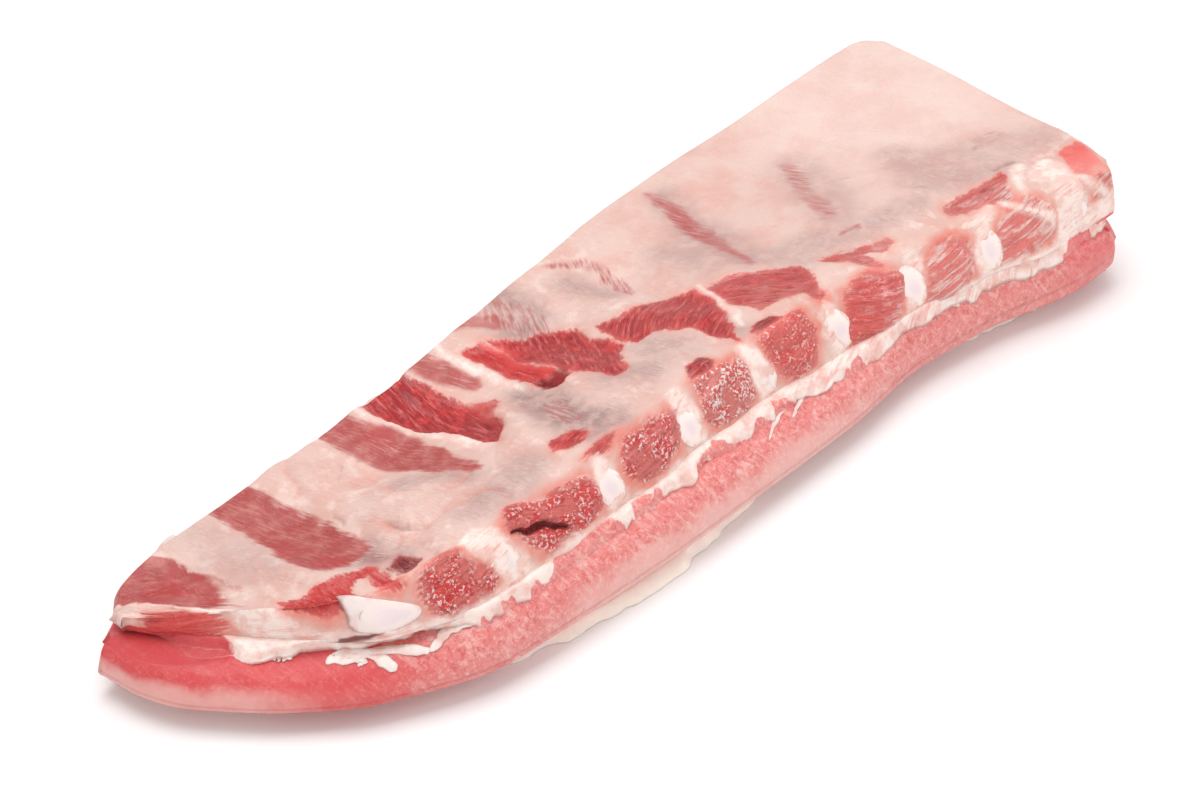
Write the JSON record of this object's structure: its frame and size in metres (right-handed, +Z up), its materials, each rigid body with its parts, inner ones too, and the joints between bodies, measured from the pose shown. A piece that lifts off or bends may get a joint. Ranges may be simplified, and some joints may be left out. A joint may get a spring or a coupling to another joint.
{
  "type": "rack of ribs",
  "caption": "Raw rack of ribs: meat and rib bones over a sheet of fat and a smooth loin muscle, with the sawn rib ends along one long side, lying on its fat cap.",
  "frame": {"origin": "centre of the bounding box's bottom, on the surface the rack lies on", "axes": "+X along the rack from its narrow end to its wide end, -Y towards the sawn rib ends, +Z up, towards the inner side of the rib cage"},
  "size_m": [0.3522, 0.12, 0.0381],
  "materials": {
    "rib_meat": "moist, meat under a thin pale membrane",
    "loin_meat": "moist, smooth fine-grained meat",
    "fat": "moist, waxy white to pale pink",
    "bone": "sawn, white with a bluish core"
  },
  "bodies": {
    "root": {"rib_slab": "rib_meat", "loin": "loin_meat", "fat_sheet": "fat", "fat_cap": "fat", "rib_bone_1": "bone", "rib_bone_2": "bone", "rib_bone_3": "bone", "rib_bone_4": "bone", "rib_bone_5": "bone", "rib_bone_6": "bone", "rib_bone_7": "bone", "rib_bone_8": "bone", "rib_bone_9": "bone"}
  },
  "joints": []
}
